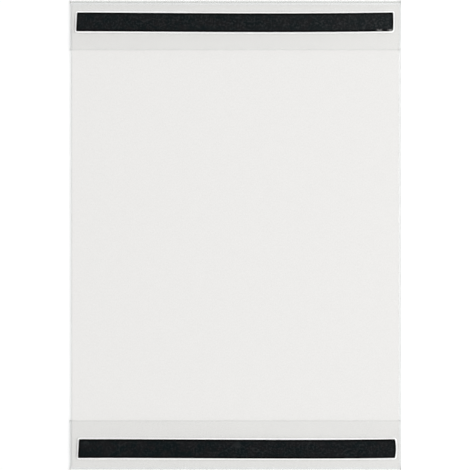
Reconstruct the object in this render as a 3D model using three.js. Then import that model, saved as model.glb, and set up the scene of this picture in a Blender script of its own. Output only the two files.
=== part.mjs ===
// Magnetic document pocket for one A4 sheet. A clear film is folded over at its top and bottom
// onto its own back and stays open along both long sides, where the sheet slides in. A flexible
// magnetic strip is taped along each folded flange, so the pocket clings to a steel board or rack.
//
// Millimetres, +Z up. The pocket lies on its front pane, with the flanges and strips on top.
// +Y points to the pocket's top edge. The origin is at the middle of the pane's front face.

import * as THREE from 'three';

// Insert sheet, plain A4
const SHEET_WIDTH = 210;
const SHEET_LENGTH = 297;
const SHEET_THICKNESS = 0.12;

// Film sleeve
const FILM_THICKNESS = 0.3;
const SIDE_MARGIN = 1.25; // film that shows past the sheet along each open side
const TOP_CLEARANCE = 2.65; // from the sheet's top end to the inside of the top fold
const BOTTOM_CLEARANCE = 1.25; // the same at the bottom, where the sheet has slid to
const SLOT_HEIGHT = 0.8; // inside, from the pane to the flange
const FLANGE_DEPTH = 32; // from the outside of the fold to the flange's free edge
const TOP_FLANGE_SKEW = -0.2; // how far the free edge lies sideways of its fold
const BOTTOM_FLANGE_SKEW = -0.3;
const FOLD_SEGMENTS = 20;

// Magnetic strips, cut by hand to length and laid on with a slight bow
const STRIP_WIDTH = 12;
const STRIP_LENGTH = 203.4;
const STRIP_THICKNESS = 0.8;
const STRIP_CORNER = 0.5; // rounding of the other three corners
const STRIP_INSET = 13.8; // from the outside of the fold to the strip's middle line
const STRIP_SEGMENTS = 28;
const TOP_STRIP = { shift: -0.4, bow: 0.55, leftSlant: 0.6, rightBulge: 0.1, lowRightCorner: 1.3 };
const BOTTOM_STRIP = { shift: 0.75, bow: 0.3, leftSlant: 0.7, rightBulge: 0.6, lowRightCorner: 0.5 };

// Double-sided tape under each strip
const TAPE_THICKNESS = 0.15;
const TAPE_RIM = 1; // white tape that shows around the strip

// Sizes that follow from those above
const sleeveWidth = SHEET_WIDTH + 2 * SIDE_MARGIN;
const sleeveLength = SHEET_LENGTH + TOP_CLEARANCE + BOTTOM_CLEARANCE + 2 * FILM_THICKNESS;
const foldInnerRadius = SLOT_HEIGHT / 2;
const foldOuterRadius = foldInnerRadius + FILM_THICKNESS;
const foldEdgeY = sleeveLength / 2;
const foldCentreY = foldEdgeY - foldOuterRadius;
const freeEdgeY = foldEdgeY - FLANGE_DEPTH;
const flangeTopZ = 2 * foldOuterRadius;
const flangeUnderZ = flangeTopZ - FILM_THICKNESS;
const stripY = foldEdgeY - STRIP_INSET;
const sheetY = (BOTTOM_CLEARANCE - TOP_CLEARANCE) / 2;

// Looks of each material
const filmMaterial = new THREE.MeshStandardMaterial({
  color: 0xe6e8e7,
  roughness: 0.3,
  metalness: 0,
  transparent: true,
  opacity: 0.35,
});
const paperMaterial = new THREE.MeshStandardMaterial({ color: 0xecebe8, roughness: 0.9, metalness: 0 });
const tapeMaterial = new THREE.MeshStandardMaterial({ color: 0xf4f4f2, roughness: 0.6, metalness: 0 });
const magnetMaterial = new THREE.MeshStandardMaterial({ color: 0x202325, roughness: 0.65, metalness: 0 });

const pocket = new THREE.Group();

function addPiece(name, geometry, material) {
  const piece = new THREE.Mesh(geometry, material);
  piece.name = name;
  pocket.add(piece);
  return piece;
}

// The film's section across the pocket, with y to the right and z up. It runs from the top flange's
// free edge round both folds to the bottom flange's free edge, and back along the inside.
function filmSection() {
  const quarter = Math.PI / 2;
  const section = new THREE.Shape();
  section.moveTo(freeEdgeY, flangeTopZ);
  section.absarc(foldCentreY, foldOuterRadius, foldOuterRadius, quarter, -quarter, true);
  section.absarc(-foldCentreY, foldOuterRadius, foldOuterRadius, -quarter, -3 * quarter, true);
  section.lineTo(-freeEdgeY, flangeTopZ);
  section.lineTo(-freeEdgeY, flangeUnderZ);
  section.absarc(-foldCentreY, foldOuterRadius, foldInnerRadius, quarter, 3 * quarter, false);
  section.absarc(foldCentreY, foldOuterRadius, foldInnerRadius, -quarter, quarter, false);
  section.lineTo(freeEdgeY, flangeUnderZ);
  return section;
}

// Slides the points of each flange sideways, in step with their distance from the fold, because
// neither flange was folded over quite square.
function skewFlanges(geometry) {
  const points = geometry.getAttribute('position');
  for (let i = 0; i < points.count; i += 1) {
    if (points.getZ(i) > foldOuterRadius) {
      const y = points.getY(i);
      const skew = y > 0 ? TOP_FLANGE_SKEW : BOTTOM_FLANGE_SKEW;
      const fromFold = (foldEdgeY - Math.abs(y)) / FLANGE_DEPTH;
      points.setX(i, points.getX(i) + skew * fromFold);
    }
  }
}

// The sleeve is one folded film: its section, extruded from one open side to the other.
function filmSleeve() {
  const geometry = new THREE.ExtrudeGeometry(filmSection(), {
    depth: sleeveWidth,
    curveSegments: FOLD_SEGMENTS,
    bevelEnabled: false,
  });
  geometry.translate(0, 0, -sleeveWidth / 2);
  const sectionToPocket = new THREE.Matrix4().makeBasis(
    new THREE.Vector3(0, 1, 0),
    new THREE.Vector3(0, 0, 1),
    new THREE.Vector3(1, 0, 0),
  );
  geometry.applyMatrix4(sectionToPocket);
  skewFlanges(geometry);
  return geometry;
}

// A strip's outline, grown by rim on every side. Both long edges sag towards the pocket's bottom
// edge by bow at mid length, the left end is cut aslant and the right end bulges a little. The low
// right corner has its own rounding, because the top strip's is worn.
function stripOutline(strip, rim) {
  const halfLength = STRIP_LENGTH / 2 + rim;
  const halfWidth = STRIP_WIDTH / 2 + rim;
  const corner = STRIP_CORNER + rim;
  const wornCorner = strip.lowRightCorner + rim;
  const leftLow = -halfLength;
  const leftHigh = leftLow + strip.leftSlant;
  const right = halfLength;
  const sag = 2 * strip.bow; // a quadratic curve passes halfway to its control point
  const outline = new THREE.Shape();
  outline.moveTo(leftLow + corner, -halfWidth);
  outline.quadraticCurveTo(0, -halfWidth - sag, right - wornCorner, -halfWidth);
  outline.quadraticCurveTo(right, -halfWidth, right, -halfWidth + wornCorner);
  outline.quadraticCurveTo(right + 2 * strip.rightBulge, 0, right, halfWidth - corner);
  outline.quadraticCurveTo(right, halfWidth, right - corner, halfWidth);
  outline.quadraticCurveTo(0, halfWidth - sag, leftHigh + corner, halfWidth);
  outline.quadraticCurveTo(leftHigh, halfWidth, leftHigh, halfWidth - corner);
  outline.lineTo(leftLow, -halfWidth + corner);
  outline.quadraticCurveTo(leftLow, -halfWidth, leftLow + corner, -halfWidth);
  return outline;
}

function stripLayer(strip, rim, thickness) {
  return new THREE.ExtrudeGeometry(stripOutline(strip, rim), {
    depth: thickness,
    curveSegments: STRIP_SEGMENTS,
    bevelEnabled: false,
  });
}

// Lays a strip on the outside of its flange, on its tape.
function addStrip(side, y, strip) {
  const tape = addPiece(`adhesive_tape_${side}`, stripLayer(strip, TAPE_RIM, TAPE_THICKNESS), tapeMaterial);
  tape.position.set(strip.shift, y, flangeTopZ);
  const magnet = addPiece(`magnetic_strip_${side}`, stripLayer(strip, 0, STRIP_THICKNESS), magnetMaterial);
  magnet.position.set(strip.shift, y, flangeTopZ + TAPE_THICKNESS);
}

addPiece('film_sleeve', filmSleeve(), filmMaterial);

// The sheet lies on the pane, between the folds and nearer the bottom one.
const sheetGeometry = new THREE.BoxGeometry(SHEET_WIDTH, SHEET_LENGTH, SHEET_THICKNESS);
const sheet = addPiece('insert_sheet', sheetGeometry, paperMaterial);
sheet.position.set(0, sheetY, FILM_THICKNESS + SHEET_THICKNESS / 2);

addStrip('top', stripY, TOP_STRIP);
addStrip('bottom', -stripY, BOTTOM_STRIP);

export default pocket;
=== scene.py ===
"""A magnetic document pocket for one A4 sheet, lying on its front pane and seen from its back.

All lengths are in metres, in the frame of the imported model: +X to the right, +Y to the pocket's
top edge, +Z out of its back.
"""

import math

import bmesh
import bpy
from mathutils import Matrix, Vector, noise


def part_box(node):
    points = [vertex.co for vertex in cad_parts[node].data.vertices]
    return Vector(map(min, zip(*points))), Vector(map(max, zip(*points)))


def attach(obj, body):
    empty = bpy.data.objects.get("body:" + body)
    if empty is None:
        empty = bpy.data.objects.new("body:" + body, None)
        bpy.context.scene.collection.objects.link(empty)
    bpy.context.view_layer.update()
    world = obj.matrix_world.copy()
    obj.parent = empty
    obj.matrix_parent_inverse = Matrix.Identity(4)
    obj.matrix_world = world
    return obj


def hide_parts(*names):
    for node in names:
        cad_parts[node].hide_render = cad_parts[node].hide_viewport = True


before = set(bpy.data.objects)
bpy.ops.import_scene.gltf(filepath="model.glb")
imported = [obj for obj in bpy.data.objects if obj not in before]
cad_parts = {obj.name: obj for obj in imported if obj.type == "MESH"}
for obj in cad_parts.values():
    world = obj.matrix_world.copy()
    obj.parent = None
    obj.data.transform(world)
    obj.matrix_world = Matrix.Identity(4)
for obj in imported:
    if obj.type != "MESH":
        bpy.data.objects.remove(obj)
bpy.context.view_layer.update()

MM = 0.001

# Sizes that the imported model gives
_, SLEEVE_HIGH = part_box("film_sleeve")
SHEET_LOW, SHEET_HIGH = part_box("insert_sheet")
TAPE_LOW, TAPE_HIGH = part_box("adhesive_tape_top")
STRIP_LOW, STRIP_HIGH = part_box("magnetic_strip_top")
FILM = SHEET_LOW.z
FOLD_OUTER = SLEEVE_HIGH.z / 2
FOLD_INNER = FOLD_OUTER - FILM
FOLD_EDGE = SLEEVE_HIGH.y
FOLD_CENTRE = FOLD_EDGE - FOLD_OUTER

# Sizes of the film
SIDE_MARGIN = 1.25 * MM
HALF_WIDTH = SHEET_HIGH.x + SIDE_MARGIN
FLANGE_DEPTH = 32 * MM
FREE_EDGE = FOLD_EDGE - FLANGE_DEPTH
TOP_SKEW = -0.2 * MM
BOTTOM_SKEW = -0.3 * MM
CUT_BEVEL = 0.12 * MM

# Curl of the flanges' free edges
CURL_START = 21 * MM  # from the fold
CURL_HEIGHT = 0.28 * MM
CURL_CHANGE = 0.16 * MM
CURL_WAVE = 60 * MM
TOP_CURL_ROW = 3.0
BOTTOM_CURL_ROW = 9.0
CURL_SEED = 0.5

# Sizes of the sheet
SHEET_BEVEL = 0.02 * MM
SHEET_LIFT = 0.03 * MM
SHEET_WAVE_X = 110 * MM
SHEET_WAVE_Y = 130 * MM
SHEET_SEED = 2.0

# Sizes of the strips and of the tape under them
STRIP_HALF_WIDTH = 6 * MM
STRIP_HALF_LENGTH = 101.7 * MM
STRIP_INSET = 13.8 * MM
STRIP_CORNER = 0.5 * MM
STRIP_BEVEL = 0.1 * MM
STRIP_RELIEF = 0.02 * MM
RELIEF_WAVE = 3 * MM
EDGE_WANDER = 0.045 * MM
WANDER_WAVE = 4 * MM
TAPE_RIM = 1.0 * MM
TAPE_BEVEL = 0.03 * MM
TAPE_SEED = 5.0  # added to its strip's own

# How each strip lies and how it was cut
STRIPS = {
    "top": {
        "x": -0.4 * MM,
        "y": FOLD_EDGE - STRIP_INSET,
        "bow": 0.55 * MM,
        "sway": 0.32 * MM,
        "slant": 0.6 * MM,
        "bulge": 0.1 * MM,
        "low_right_corner": 1.3 * MM,
        "seed": 1.0,
    },
    "bottom": {
        "x": 0.75 * MM,
        "y": STRIP_INSET - FOLD_EDGE,
        "bow": 0.3 * MM,
        "sway": 0.42 * MM,
        "slant": 0.7 * MM,
        "bulge": 0.6 * MM,
        "low_right_corner": 0.5 * MM,
        "seed": 2.0,
    },
}

# Mesh density
FLANGE_STEPS = 22
PANE_STEPS = 70
FOLD_STEPS = 18
FILM_SLICES = 72
SHEET_ROWS = 90
SHEET_COLUMNS = 64
STRIP_ROWS = 22
STRIP_COLUMNS = 300
BEVEL_SEGMENTS = 2
WELD = 0.001 * MM  # points closer than this are one
SHARP_ANGLE = math.radians(18)  # less than one step of a bevel, so that flat faces stay flat

# Marks on the film, among them painted shade on the top fold and towards the left
# Painted shade on the top fold only: a grey line about 1.3 mm inside its edge and a grey band on its
# outer curve
FOLD_SHADE_LINE_Y = FOLD_EDGE - 1.3 * MM
TOP_FOLD_SHADE_START = FOLD_EDGE - 1.2 * MM
TOP_FOLD_SHADE_FULL = FOLD_EDGE - 0.9 * MM
EDGE_LINE_Y = FREE_EDGE + 0.6 * MM
# Painted shade: between these the film turns greyer towards the left
SHADE_LEFT_X = -90 * MM
SHADE_RIGHT_X = 30 * MM

# Haze of the film and painted shade on it, each as the share of it that is drawn pale grey
# The right value is the film's own cloudiness; the larger left one adds painted shade
LEFT_HAZE_AND_SHADE = 0.0235
RIGHT_HAZE = 0.0155
GRAIN_HAZE_LOW = 0.007
GRAIN_HAZE_HIGH = 0.014
# Painted shade shares for the top fold's line and band
FOLD_SHADE_LINE = 0.062
TOP_FOLD_SHADE = 0.024
LINE_HAZE = 0.022
PAST_SHEET_HAZE = 0.042

# Shine of the film
HEAD_ON_SHINE = 0.014
GRAZING_SHINE = 0.9
SHINE_POWER = 5.0

# Sizes of the patterns in the materials
FILM_GRAIN = 0.7 * MM
FILM_WAVE = 26 * MM
KNIFE_GRAIN = 0.5 * MM
PAPER_CLOUD = 9 * MM
PAPER_FIBRE = 0.55 * MM
FIBRE_STRETCH = (1.0, 0.55, 1.0)
FIBRE_SHARE = 0.92
CLOUD_SHARE = 0.08
TAPE_GRAIN = 0.3 * MM
RUBBER_CLOUD = 5.5 * MM
RUBBER_GRAIN = 1.3 * MM
RUBBER_SCRATCHES = 16 * MM
RUBBER_SPECKS = 1.5 * MM
RUBBER_REACH = 100 * MM  # the strips' tone changes over this far from the pocket's middle
DARK_RIM = 1.0  # in millimetres, as from_edge is
DARK_RIM_END = 1.3
FLOOR_GRAIN = 20 * MM
NOISE_LOW = 0.3  # most noise lies between these
NOISE_HIGH = 0.7

# Scuffs on the top strip, each a centre and its radii
LEFT_SCUFF = ((92.5 * MM, 131.6 * MM), (2.4 * MM, 1.0 * MM))
RIGHT_SCUFF = ((100.0 * MM, 131.5 * MM), (3.2 * MM, 1.3 * MM))

# Colours
WHITE = (1.0, 1.0, 1.0)
FILM_TINT = (0.994, 0.995, 0.994)
# Pale grey of the film's cloudiness and of the painted shade on it
FILM_MILKY_AND_SHADE_GREY = (0.62, 0.625, 0.62)
CUT_TINT = (0.85, 0.855, 0.85)
CUT_GREY = (0.25, 0.26, 0.26)
PAPER_DARKER = (0.729, 0.722, 0.7085)
PAPER_LIGHTER = (0.782, 0.775, 0.7615)
TAPE_DARKER = (0.96, 0.96, 0.955)
TAPE_LIGHTER = (0.98, 0.98, 0.975)
RUBBER_TEAL = (0.0018, 0.0052, 0.0061)
RUBBER_GREY = (0.0064, 0.0066, 0.0074)
RUBBER_PALE = (0.031, 0.0335, 0.0345)
RUBBER_SCRATCH = (0.032, 0.034, 0.035)
RUBBER_DUST = (0.042, 0.044, 0.045)
RUBBER_RIM = (0.0006, 0.0006, 0.0006)
RUBBER_SCUFF = (0.24, 0.24, 0.235)
FLOOR_DARKER = (0.945, 0.945, 0.945)
FLOOR_LIGHTER = (0.955, 0.955, 0.955)

# Stage and lights
FLOOR_SIZE = 12.0
FLOOR_DROP = 0.02 * MM
LIGHT_SIZE = 1.7
RIGHT_LIGHT_PLACE = (1.25, 0.1, 2.4)
RIGHT_LIGHT_WATTS = 53.0
LEFT_LIGHT_PLACE = (-1.25, 0.0, 2.4)
LEFT_LIGHT_WATTS = 12.6
BRIGHT_BELOW = 0.1  # upward share of a direction into the room
DIM_ABOVE = 0.45
BRIGHT_STRENGTH = 1.0
DIM_STRENGTH = 0.35

# Camera, set by where the photograph has the pocket in its 470-pixel frame
PHOTO_SIZE = 470
PHOTO_TOP = 0.4
PHOTO_BOTTOM = 470.0
CAMERA_HEIGHT = 1.6
CAMERA_RIGHT = -0.2 * MM
CAMERA_NEAR = 0.05
CAMERA_FAR = 50.0
SENSOR = 36.0


def smooth_step(low, high, value):
    """0 below low, 1 above high, and an even curve between."""
    t = min(max((value - low) / (high - low), 0.0), 1.0)
    return t * t * (3.0 - 2.0 * t)


# Node helpers


def new_material(name):
    """An empty node material, its node tree and its output's surface socket."""
    material = bpy.data.materials.new(name)
    material.use_nodes = True
    nodes = material.node_tree.nodes
    nodes.clear()
    output = nodes.new("ShaderNodeOutputMaterial")
    return material, material.node_tree, output.inputs["Surface"]


def fill(tree, socket, value):
    """Gives a socket its value, which is another socket, a number or an RGB triple."""
    if isinstance(value, tuple):
        socket.default_value = (*value, 1.0)
    elif isinstance(value, (int, float)):
        socket.default_value = value
    else:
        tree.links.new(value, socket)


def math_node(tree, operation, first, second=0.0):
    """A Math node. first and second are sockets or numbers."""
    node = tree.nodes.new("ShaderNodeMath")
    node.operation = operation
    fill(tree, node.inputs[0], first)
    fill(tree, node.inputs[1], second)
    return node.outputs[0]


def distance_node(tree, value, middle):
    """How far value lies from middle, on either side."""
    return math_node(tree, "ABSOLUTE", math_node(tree, "SUBTRACT", value, middle))


def object_place(tree, stretch=(1.0, 1.0, 1.0)):
    """The place on the object in metres, each axis times stretch."""
    place = tree.nodes.new("ShaderNodeTexCoord")
    mapping = tree.nodes.new("ShaderNodeMapping")
    mapping.inputs["Scale"].default_value = stretch
    tree.links.new(place.outputs["Object"], mapping.inputs["Vector"])
    return mapping.outputs["Vector"]


def split_node(tree, vector):
    """The x, y and z of a vector socket."""
    node = tree.nodes.new("ShaderNodeSeparateXYZ")
    tree.links.new(vector, node.inputs[0])
    return node.outputs["X"], node.outputs["Y"], node.outputs["Z"]


def noise_node(tree, place, size, detail=3.0, roughness=0.5):
    """Noise whose features are about size metres across."""
    node = tree.nodes.new("ShaderNodeTexNoise")
    node.inputs["Scale"].default_value = 1.0 / size
    node.inputs["Detail"].default_value = detail
    node.inputs["Roughness"].default_value = roughness
    tree.links.new(place, node.inputs["Vector"])
    return node.outputs["Fac"]


def range_node(tree, value, low, high, to_low, to_high):
    """Value, mapped from low..high to to_low..to_high and held there."""
    node = tree.nodes.new("ShaderNodeMapRange")
    tree.links.new(value, node.inputs["Value"])
    node.inputs["From Min"].default_value = low
    node.inputs["From Max"].default_value = high
    node.inputs["To Min"].default_value = to_low
    node.inputs["To Max"].default_value = to_high
    return node.outputs["Result"]


def spread_noise(tree, value, to_low, to_high):
    """Noise, mapped from where most of it lies to to_low..to_high."""
    return range_node(tree, value, NOISE_LOW, NOISE_HIGH, to_low, to_high)


def mix_colour(tree, factor, first, second):
    """A colour between first and second. Each is a socket or an RGB triple."""
    node = tree.nodes.new("ShaderNodeMix")
    node.data_type = "RGBA"
    fill(tree, node.inputs["Factor"], factor)
    for name, value in (("A", first), ("B", second)):
        fill(tree, next(s for s in node.inputs if s.name == name and s.type == "RGBA"), value)
    return next(s for s in node.outputs if s.type == "RGBA")


def spot_node(tree, centre, radii):
    """1 at a place on the object, falling to 0 at radii metres from it in x and y."""
    place = tree.nodes.new("ShaderNodeTexCoord")
    mapping = tree.nodes.new("ShaderNodeMapping")
    mapping.inputs["Location"].default_value = (-centre[0] / radii[0], -centre[1] / radii[1], 0.0)
    mapping.inputs["Scale"].default_value = (1.0 / radii[0], 1.0 / radii[1], 0.0)
    ball = tree.nodes.new("ShaderNodeTexGradient")
    ball.gradient_type = "SPHERICAL"
    tree.links.new(place.outputs["Object"], mapping.inputs["Vector"])
    tree.links.new(mapping.outputs["Vector"], ball.inputs["Vector"])
    return ball.outputs["Fac"]


def bump_node(tree, height, distance, strength=1.0):
    """A normal bumped by height, where 1 is distance metres high."""
    node = tree.nodes.new("ShaderNodeBump")
    node.inputs["Distance"].default_value = distance
    node.inputs["Strength"].default_value = strength
    tree.links.new(height, node.inputs["Height"])
    return node.outputs["Normal"]


def principled(tree, colour, roughness, specular=0.5, normal=None):
    """A Principled shader. Its colour and roughness are sockets or values."""
    shader = tree.nodes.new("ShaderNodeBsdfPrincipled")
    fill(tree, shader.inputs["Base Color"], colour)
    fill(tree, shader.inputs["Roughness"], roughness)
    shader.inputs["Specular IOR Level"].default_value = specular
    if normal is not None:
        tree.links.new(normal, shader.inputs["Normal"])
    return shader.outputs["BSDF"]


def transparent(tree, tint):
    """A shader that light passes straight through."""
    shader = tree.nodes.new("ShaderNodeBsdfTransparent")
    fill(tree, shader.inputs["Color"], tint)
    return shader.outputs["BSDF"]


def mix_shader(tree, factor, first, second):
    """A shader between first and second."""
    node = tree.nodes.new("ShaderNodeMixShader")
    fill(tree, node.inputs[0], factor)
    tree.links.new(first, node.inputs[1])
    tree.links.new(second, node.inputs[2])
    return node.outputs[0]


def film_gloss(tree, under, roughness, normal=None):
    """Puts the film's shine over a shader: little head on, and a mirror at a low angle."""
    weight = tree.nodes.new("ShaderNodeLayerWeight")
    weight.inputs["Blend"].default_value = 0.5  # Facing is then 1 less the cosine
    steep = math_node(tree, "POWER", weight.outputs["Facing"], SHINE_POWER)
    shine = range_node(tree, steep, 0.0, 1.0, HEAD_ON_SHINE, GRAZING_SHINE)
    gloss = tree.nodes.new("ShaderNodeBsdfGlossy")
    gloss.inputs["Roughness"].default_value = roughness
    fill(tree, gloss.inputs["Color"], WHITE)
    if normal is not None:
        tree.links.new(normal, gloss.inputs["Normal"])
    return mix_shader(tree, shine, under, gloss.outputs["BSDF"])


# Materials


def clear_film():
    """Thin clear film: faintly cloudy, more so past the sheet's right side; painted shade greys it to
    the left and on the top fold; and a fine line lies just inside each flange's free edge."""
    material, tree, surface = new_material("clear_film")
    place = object_place(tree)
    x, y, _ = split_node(tree, place)
    # Painted shade on the top fold: a grey line near it and a grey band over its outer curve
    from_fold_shade_line = distance_node(tree, y, FOLD_SHADE_LINE_Y)
    fold_shade_line = range_node(tree, from_fold_shade_line, 0.15 * MM, 0.5 * MM, FOLD_SHADE_LINE, 0.0)
    top_fold_shade = range_node(tree, y, TOP_FOLD_SHADE_START, TOP_FOLD_SHADE_FULL, 0.0, TOP_FOLD_SHADE)
    from_middle = math_node(tree, "ABSOLUTE", y)
    from_line = distance_node(tree, from_middle, EDGE_LINE_Y)
    line = range_node(tree, from_line, 0.2 * MM, 0.4 * MM, LINE_HAZE, 0.0)
    # Painted shade: the film greys towards the left, over its own cloudiness
    haze_and_left_shade = range_node(tree, x, SHADE_LEFT_X, SHADE_RIGHT_X, LEFT_HAZE_AND_SHADE, RIGHT_HAZE)
    past_sheet = range_node(tree, x, SHEET_HIGH.x, SHEET_HIGH.x + 0.1 * MM, 0.0, PAST_SHEET_HAZE)
    off_flanges = range_node(tree, from_middle, FREE_EDGE - 0.2 * MM, FREE_EDGE, 1.0, 0.0)
    grain = noise_node(tree, place, FILM_GRAIN, detail=4.0)
    grainy = spread_noise(tree, grain, GRAIN_HAZE_LOW, GRAIN_HAZE_HIGH)
    grainy_haze_and_left_shade = math_node(tree, "ADD", haze_and_left_shade, grainy)
    bare = math_node(tree, "MULTIPLY", past_sheet, off_flanges)
    lined = math_node(tree, "ADD", line, bare)
    # Both painted shade marks of the top fold
    folded = math_node(tree, "ADD", fold_shade_line, top_fold_shade)
    # The film's own cloudiness with the painted shade added
    haze_and_shade = math_node(tree, "ADD", math_node(tree, "ADD", grainy_haze_and_left_shade, lined), folded)
    clear = transparent(tree, FILM_TINT)
    waves = noise_node(tree, place, FILM_WAVE, detail=1.0)
    normal = bump_node(tree, waves, distance=0.1 * MM, strength=0.5)
    milky_and_shade_grey = principled(tree, FILM_MILKY_AND_SHADE_GREY, roughness=0.35, normal=normal)
    body = mix_shader(tree, haze_and_shade, clear, milky_and_shade_grey)
    tree.links.new(film_gloss(tree, body, roughness=0.18, normal=normal), surface)
    return material


def film_cut():
    """The film's cut edge, greyer than its faces because less light comes out through it."""
    material, tree, surface = new_material("film_cut_edge")
    knife = noise_node(tree, object_place(tree), KNIFE_GRAIN)
    clear = transparent(tree, CUT_TINT)
    grey = principled(tree, CUT_GREY, roughness=0.3)
    body = mix_shader(tree, spread_noise(tree, knife, 0.6, 0.75), clear, grey)
    tree.links.new(film_gloss(tree, body, roughness=0.25), surface)
    return material


def sheet_paper():
    """Plain white office paper with faint fibres and cloudiness."""
    material, tree, surface = new_material("white_paper")
    cloud = noise_node(tree, object_place(tree), PAPER_CLOUD, detail=2.0)
    stretched = object_place(tree, FIBRE_STRETCH)
    fibre = noise_node(tree, stretched, PAPER_FIBRE, detail=5.0, roughness=0.65)
    fibre_part = math_node(tree, "MULTIPLY", fibre, FIBRE_SHARE)
    cloud_part = math_node(tree, "MULTIPLY", cloud, CLOUD_SHARE)
    mixed = math_node(tree, "ADD", fibre_part, cloud_part)
    tone = range_node(tree, mixed, 0.35, 0.65, 0.0, 1.0)
    colour = mix_colour(tree, tone, PAPER_DARKER, PAPER_LIGHTER)
    normal = bump_node(tree, fibre, distance=0.02 * MM, strength=0.6)
    paper = principled(tree, colour, roughness=0.85, specular=0.2, normal=normal)
    tree.links.new(paper, surface)
    return material


def white_tape():
    """Matt white double-sided tape."""
    material, tree, surface = new_material("white_tape")
    grain = noise_node(tree, object_place(tree), TAPE_GRAIN)
    colour = mix_colour(tree, spread_noise(tree, grain, 0.0, 1.0), TAPE_DARKER, TAPE_LIGHTER)
    normal = bump_node(tree, grain, distance=0.02 * MM)
    tape = principled(tree, colour, roughness=0.6, specular=0.3, normal=normal)
    tree.links.new(tape, surface)
    return material


def magnetic_rubber():
    """Dark flexible magnetic strip: mottled, specked and scratched, darker at its edges, paler and
    scuffed at one end of the top strip."""
    material, tree, surface = new_material("magnetic_rubber")
    place = object_place(tree)
    cloud = noise_node(tree, place, RUBBER_CLOUD, detail=4.0, roughness=0.6)
    fine = noise_node(tree, place, RUBBER_GRAIN, detail=3.0, roughness=0.6)
    hue = range_node(tree, cloud, 0.4, 0.6, 0.0, 1.0)
    base = mix_colour(tree, hue, RUBBER_TEAL, RUBBER_GREY)
    x, y, _ = split_node(tree, place)
    rightward = range_node(tree, x, 0.0, RUBBER_REACH, 0.05, 0.2)
    upper = range_node(tree, y, -RUBBER_REACH, RUBBER_REACH, 0.15, 1.0)
    worn = math_node(tree, "MULTIPLY", rightward, upper)
    calm = range_node(tree, y, -RUBBER_REACH, RUBBER_REACH, 0.7, 1.0)
    stronger = range_node(tree, x, -RUBBER_REACH, RUBBER_REACH, 0.36, 0.68)
    contrast = math_node(tree, "MULTIPLY", stronger, calm)
    flecks = math_node(tree, "MULTIPLY", range_node(tree, fine, 0.49, 0.66, 0.0, 1.0), contrast)
    pale = math_node(tree, "ADD", flecks, worn)
    colour = mix_colour(tree, pale, base, RUBBER_PALE)
    bends = noise_node(tree, place, RUBBER_SCRATCHES, detail=1.0)
    scratch = range_node(tree, distance_node(tree, bends, 0.5), 0.002, 0.008, 0.3, 0.0)
    scratched = mix_colour(tree, scratch, colour, RUBBER_SCRATCH)
    specks = tree.nodes.new("ShaderNodeTexVoronoi")
    specks.inputs["Scale"].default_value = 1.0 / RUBBER_SPECKS
    tree.links.new(place, specks.inputs["Vector"])
    dust = range_node(tree, specks.outputs["Distance"], 0.06, 0.2, 0.5, 0.0)
    dusty = mix_colour(tree, dust, scratched, RUBBER_DUST)
    edge = tree.nodes.new("ShaderNodeAttribute")
    edge.attribute_name = "from_edge"
    rim = range_node(tree, edge.outputs["Fac"], DARK_RIM, DARK_RIM_END, 1.0, 0.0)
    rimmed = mix_colour(tree, rim, dusty, RUBBER_RIM)
    left_scuff = spot_node(tree, *LEFT_SCUFF)
    right_scuff = spot_node(tree, *RIGHT_SCUFF)
    scuffs = math_node(tree, "ADD", left_scuff, right_scuff)
    rubbed = math_node(tree, "MULTIPLY", scuffs, range_node(tree, fine, 0.35, 0.55, 0.3, 1.0))
    finish = mix_colour(tree, range_node(tree, rubbed, 0.1, 0.8, 0.0, 1.0), rimmed, RUBBER_SCUFF)
    normal = bump_node(tree, fine, distance=0.05 * MM, strength=0.8)
    rough = spread_noise(tree, fine, 0.5, 0.68)
    rubber = principled(tree, finish, rough, specular=0.04, normal=normal)
    tree.links.new(rubber, surface)
    return material


def floor_paint():
    """Plain pale studio floor."""
    material, tree, surface = new_material("studio_floor")
    grain = noise_node(tree, object_place(tree), FLOOR_GRAIN)
    colour = mix_colour(tree, grain, FLOOR_DARKER, FLOOR_LIGHTER)
    tree.links.new(principled(tree, colour, roughness=0.9, specular=0.1), surface)
    return material


# Mesh helpers


def finish_mesh(name, bm, materials):
    """Makes an object of a bmesh, smooth where it curves and crisp at its bevels."""
    bmesh.ops.remove_doubles(bm, verts=bm.verts, dist=WELD)
    bmesh.ops.recalc_face_normals(bm, faces=bm.faces)
    mesh = bpy.data.meshes.new(name)
    bm.to_mesh(mesh)
    bm.free()
    for material in materials:
        mesh.materials.append(material)
    for face in mesh.polygons:
        face.use_smooth = True
    mesh.set_sharp_from_angle(angle=SHARP_ANGLE)
    piece = bpy.data.objects.new(name, mesh)
    bpy.context.scene.collection.objects.link(piece)
    return piece


def steps(low, high, count):
    """count + 1 even values from low to high."""
    return [low + (high - low) * i / count for i in range(count + 1)]


def slab(rows, thickness, bevel):
    """A bmesh slab whose top is a grid of points, rows of equal length, with its top rim
    bevelled."""
    bm = bmesh.new()
    top = [[bm.verts.new(p) for p in row] for row in rows]
    down = Vector((0.0, 0.0, -thickness))
    bottom = [[bm.verts.new(Vector(p) + down) for p in row] for row in rows]
    last_row = len(rows) - 1
    last = len(rows[0]) - 1
    for i in range(last_row):
        for j in range(last):
            bm.faces.new((top[i][j], top[i][j + 1], top[i + 1][j + 1], top[i + 1][j]))
            bm.faces.new((bottom[i][j], bottom[i + 1][j], bottom[i + 1][j + 1], bottom[i][j + 1]))
    rim = [(0, j) for j in range(last)]
    rim += [(i, last) for i in range(last_row)]
    rim += [(last_row, j) for j in range(last, 0, -1)]
    rim += [(i, 0) for i in range(last_row, 0, -1)]
    edges = []
    for (i, j), (m, n) in zip(rim, rim[1:] + rim[:1]):
        bm.faces.new((top[i][j], bottom[i][j], bottom[m][n], top[m][n]))
        edges.append(bm.edges.get((top[i][j], top[m][n])))
    bevel_edges(bm, edges, bevel)
    return bm


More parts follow.
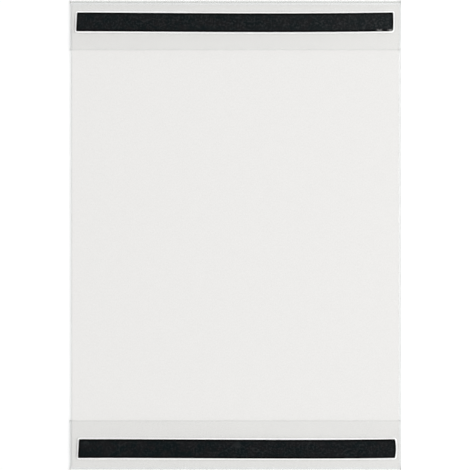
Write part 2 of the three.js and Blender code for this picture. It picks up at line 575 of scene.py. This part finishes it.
def bevel_edges(bm, edges, offset, material=-1):
    """Rounds edges off. The new faces take the material of that index, or of their neighbours."""
    bmesh.ops.bevel(
        bm,
        geom=edges,
        offset=offset,
        segments=BEVEL_SEGMENTS,
        profile=0.5,
        affect="EDGES",
        material=material,
    )


# Film sleeve


def arc_points(centre_y, radius, start, end):
    """The film's points round a fold, from angle start to end with the ends left out."""
    points = []
    for angle in steps(start, end, FOLD_STEPS)[1:-1]:
        z = FOLD_OUTER + radius * math.sin(angle)
        points.append((centre_y + radius * math.cos(angle), z, z > FOLD_OUTER))
    return points


def film_section():
    """The film's closed section as (y, z, on_flange) points, from the top flange's free edge round
    the outside of both folds and back along the inside. Also the places of the two cut edges."""
    quarter = math.pi / 2
    top_z = 2 * FOLD_OUTER
    under_z = top_z - FILM
    section = [(y, top_z, True) for y in steps(FREE_EDGE, FOLD_CENTRE, FLANGE_STEPS)]
    section += arc_points(FOLD_CENTRE, FOLD_OUTER, quarter, -quarter)
    section += [(y, 0.0, False) for y in steps(FOLD_CENTRE, -FOLD_CENTRE, PANE_STEPS)]
    section += arc_points(-FOLD_CENTRE, FOLD_OUTER, -quarter, -3 * quarter)
    section += [(y, top_z, True) for y in steps(-FOLD_CENTRE, -FREE_EDGE, FLANGE_STEPS)]
    bottom_cut = len(section) - 1
    section += [(y, under_z, True) for y in steps(-FREE_EDGE, -FOLD_CENTRE, FLANGE_STEPS)]
    section += arc_points(-FOLD_CENTRE, FOLD_INNER, quarter, 3 * quarter)
    section += [(y, FILM, False) for y in steps(-FOLD_CENTRE, FOLD_CENTRE, PANE_STEPS)]
    section += arc_points(FOLD_CENTRE, FOLD_INNER, -quarter, quarter)
    section += [(y, under_z, True) for y in steps(FOLD_CENTRE, FREE_EDGE, FLANGE_STEPS)]
    top_cut = len(section) - 1
    return section, (bottom_cut, top_cut)


def film_point(x, y, z, on_flange):
    """Where a point of the flat section lands: flanges skewed, with their free edges curled up."""
    if not on_flange:
        return x, y, z
    from_fold = FOLD_EDGE - abs(y)
    skew = TOP_SKEW if y > 0 else BOTTOM_SKEW
    row = TOP_CURL_ROW if y > 0 else BOTTOM_CURL_ROW
    wave = noise.noise(Vector((x / CURL_WAVE, row, CURL_SEED)))
    height = CURL_HEIGHT + CURL_CHANGE * wave
    curl = height * smooth_step(CURL_START, FLANGE_DEPTH, from_fold)
    return x + skew * from_fold / FLANGE_DEPTH, y, z + curl


def make_film():
    """The one folded film, with its cut edges eased."""
    section, cuts = film_section()
    slices = steps(-HALF_WIDTH, HALF_WIDTH, FILM_SLICES)
    bm = bmesh.new()
    rings = [[bm.verts.new(film_point(x, *point)) for point in section] for x in slices]
    count = len(section)
    for near, far in zip(rings, rings[1:]):
        for k in range(count):
            n = (k + 1) % count
            face = bm.faces.new((near[k], near[n], far[n], far[k]))
            face.material_index = 1 if k in cuts else 0
    caps = [bm.faces.new(rings[0]), bm.faces.new(list(reversed(rings[-1])))]
    for cap in caps:
        cap.material_index = 1
    edges = [edge for cap in caps for edge in cap.edges]
    for near, far in zip(rings, rings[1:]):
        for cut in cuts:
            for k in (cut, (cut + 1) % count):
                edges.append(bm.edges.get((near[k], far[k])))
    bevel_edges(bm, edges, CUT_BEVEL, material=1)
    return finish_mesh("folded_film", bm, [clear_film(), film_cut()])


# Sheet


def make_sheet():
    """The A4 sheet, which lies on the pane with a slight wave."""
    rows = []
    for y in steps(SHEET_LOW.y, SHEET_HIGH.y, SHEET_ROWS):
        row = []
        for x in steps(SHEET_LOW.x, SHEET_HIGH.x, SHEET_COLUMNS):
            wave = noise.noise(Vector((x / SHEET_WAVE_X, y / SHEET_WAVE_Y, SHEET_SEED)))
            row.append((x, y, SHEET_HIGH.z + SHEET_LIFT * (1 + wave)))
        rows.append(row)
    body = slab(rows, SHEET_HIGH.z - SHEET_LOW.z, SHEET_BEVEL)
    return finish_mesh("paper_sheet", body, [sheet_paper()])


# Strips


def corner_cut(across, half_width, corner):
    """How far a rounded corner cuts into a strip's end, at across, from -1 to 1 over its width."""
    past = max(abs(across) * half_width - (half_width - corner), 0.0) / corner
    return corner * (1.0 - math.sqrt(max(1.0 - past * past, 0.0)))


def droop(strip, x, half_length):
    """How far a strip's middle line lies towards the pocket's bottom edge, at x from its middle."""
    along = x / half_length
    return (strip["bow"] + strip["sway"] * along) * (1 - along * along)


def strip_rows(strip, rim, top_z, relief, seed):
    """The top of a strip or of its tape as a grid of points, in rows along its length."""
    half_length = STRIP_HALF_LENGTH + rim
    half_width = STRIP_HALF_WIDTH + rim
    corner = STRIP_CORNER + rim
    rows = []
    for v in steps(-1.0, 1.0, STRIP_ROWS):
        across = math.sin(v * math.pi / 2)
        right_corner = corner if across > 0 else strip["low_right_corner"] + rim
        left_cut = corner_cut(across, half_width, corner)
        right_cut = corner_cut(across, half_width, right_corner)
        left = -half_length + strip["slant"] * (across + 1) / 2 + left_cut
        right = half_length + strip["bulge"] * (1 - across * across) - right_cut
        row = []
        for u in steps(0.0, 1.0, STRIP_COLUMNS):
            x = left + (right - left) * u
            sag = droop(strip, x, half_length)
            wander = EDGE_WANDER * noise.noise(Vector((x / WANDER_WAVE, across, seed)))
            y = across * half_width - sag + wander * abs(across)
            z = top_z + relief * noise.noise(Vector((x / RELIEF_WAVE, y / RELIEF_WAVE, seed)))
            row.append((strip["x"] + x, strip["y"] + y, z))
        rows.append(row)
    return rows


def mark_edges(piece, strip):
    """Stores on each point how far it is from the strip's outline, in millimetres."""
    attribute = piece.data.attributes.new("from_edge", "FLOAT", "POINT")
    for i, vertex in enumerate(piece.data.vertices):
        x = vertex.co.x - strip["x"]
        y = vertex.co.y - strip["y"] + droop(strip, x, STRIP_HALF_LENGTH)
        across = y / STRIP_HALF_WIDTH
        side = STRIP_HALF_WIDTH - abs(y)
        left = x + STRIP_HALF_LENGTH - strip["slant"] * (across + 1) / 2
        right = STRIP_HALF_LENGTH + strip["bulge"] * (1 - across * across) - x
        attribute.data[i].value = min(side, left, right) / MM


def make_strip(side, rubber, tape):
    """One magnetic strip on its tape."""
    strip = STRIPS[side]
    rows = strip_rows(strip, 0.0, STRIP_HIGH.z - STRIP_RELIEF, STRIP_RELIEF, strip["seed"])
    body = slab(rows, STRIP_HIGH.z - STRIP_LOW.z - 2 * STRIP_RELIEF, STRIP_BEVEL)
    magnet = finish_mesh(f"magnet_{side}", body, [rubber])
    mark_edges(magnet, strip)
    rows = strip_rows(strip, TAPE_RIM, TAPE_HIGH.z, 0.0, strip["seed"] + TAPE_SEED)
    body = slab(rows, TAPE_HIGH.z - TAPE_LOW.z, TAPE_BEVEL)
    band = finish_mesh(f"tape_{side}", body, [tape])
    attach(magnet, "root")
    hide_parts(f"magnetic_strip_{side}")
    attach(band, "root")
    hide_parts(f"adhesive_tape_{side}")


# Stage, lights and camera


def make_floor():
    """A wide pale floor just under the pocket."""
    bpy.ops.mesh.primitive_plane_add(size=FLOOR_SIZE, location=(0.0, 0.0, -FLOOR_DROP))
    floor = bpy.context.object
    floor.name = "floor"
    floor.data.materials.append(floor_paint())


def make_world():
    """A soft room that is bright at the horizon and dim overhead."""
    world = bpy.data.worlds.new("soft_room")
    bpy.context.scene.world = world
    world.use_nodes = True
    tree = world.node_tree
    tree.nodes.clear()
    place = tree.nodes.new("ShaderNodeTexCoord")
    _, _, up = split_node(tree, place.outputs["Generated"])
    background = tree.nodes.new("ShaderNodeBackground")
    fill(tree, background.inputs["Color"], WHITE)
    strength = range_node(tree, up, BRIGHT_BELOW, DIM_ABOVE, BRIGHT_STRENGTH, DIM_STRENGTH)
    tree.links.new(strength, background.inputs["Strength"])
    output = tree.nodes.new("ShaderNodeOutputWorld")
    tree.links.new(background.outputs[0], output.inputs[0])


def make_light(name, place, watts):
    """A square soft light that looks at the pocket."""
    data = bpy.data.lights.new(name, "AREA")
    data.shape = "SQUARE"
    data.size = LIGHT_SIZE
    data.energy = watts
    light = bpy.data.objects.new(name, data)
    light.location = place
    light.rotation_mode = "QUATERNION"
    light.rotation_quaternion = (-Vector(place)).to_track_quat("-Z", "Y")
    bpy.context.scene.collection.objects.link(light)


def make_camera():
    """Looks straight down, with the pocket as large and as high in the frame as in the photograph."""
    metres_per_pixel = 2 * FOLD_EDGE / (PHOTO_BOTTOM - PHOTO_TOP)
    off_centre = (PHOTO_TOP + PHOTO_BOTTOM) / 2 - PHOTO_SIZE / 2
    data = bpy.data.cameras.new("camera")
    data.sensor_width = SENSOR
    data.lens = SENSOR * (CAMERA_HEIGHT - SLEEVE_HIGH.z) / (PHOTO_SIZE * metres_per_pixel)
    data.clip_start = CAMERA_NEAR
    data.clip_end = CAMERA_FAR
    camera = bpy.data.objects.new("camera", data)
    camera.location = (CAMERA_RIGHT, off_centre * metres_per_pixel, CAMERA_HEIGHT)
    bpy.context.scene.collection.objects.link(camera)
    bpy.context.scene.camera = camera


make_camera()
make_world()
make_floor()
make_light("right_light", RIGHT_LIGHT_PLACE, RIGHT_LIGHT_WATTS)
make_light("left_light", LEFT_LIGHT_PLACE, LEFT_LIGHT_WATTS)
bpy.context.scene.view_settings.view_transform = "Standard"

film = make_film()
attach(film, "root")
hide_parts("film_sleeve")

paper = make_sheet()
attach(paper, "root")
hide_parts("insert_sheet")

rubber_material = magnetic_rubber()
tape_material = white_tape()
make_strip("top", rubber_material, tape_material)
make_strip("bottom", rubber_material, tape_material)
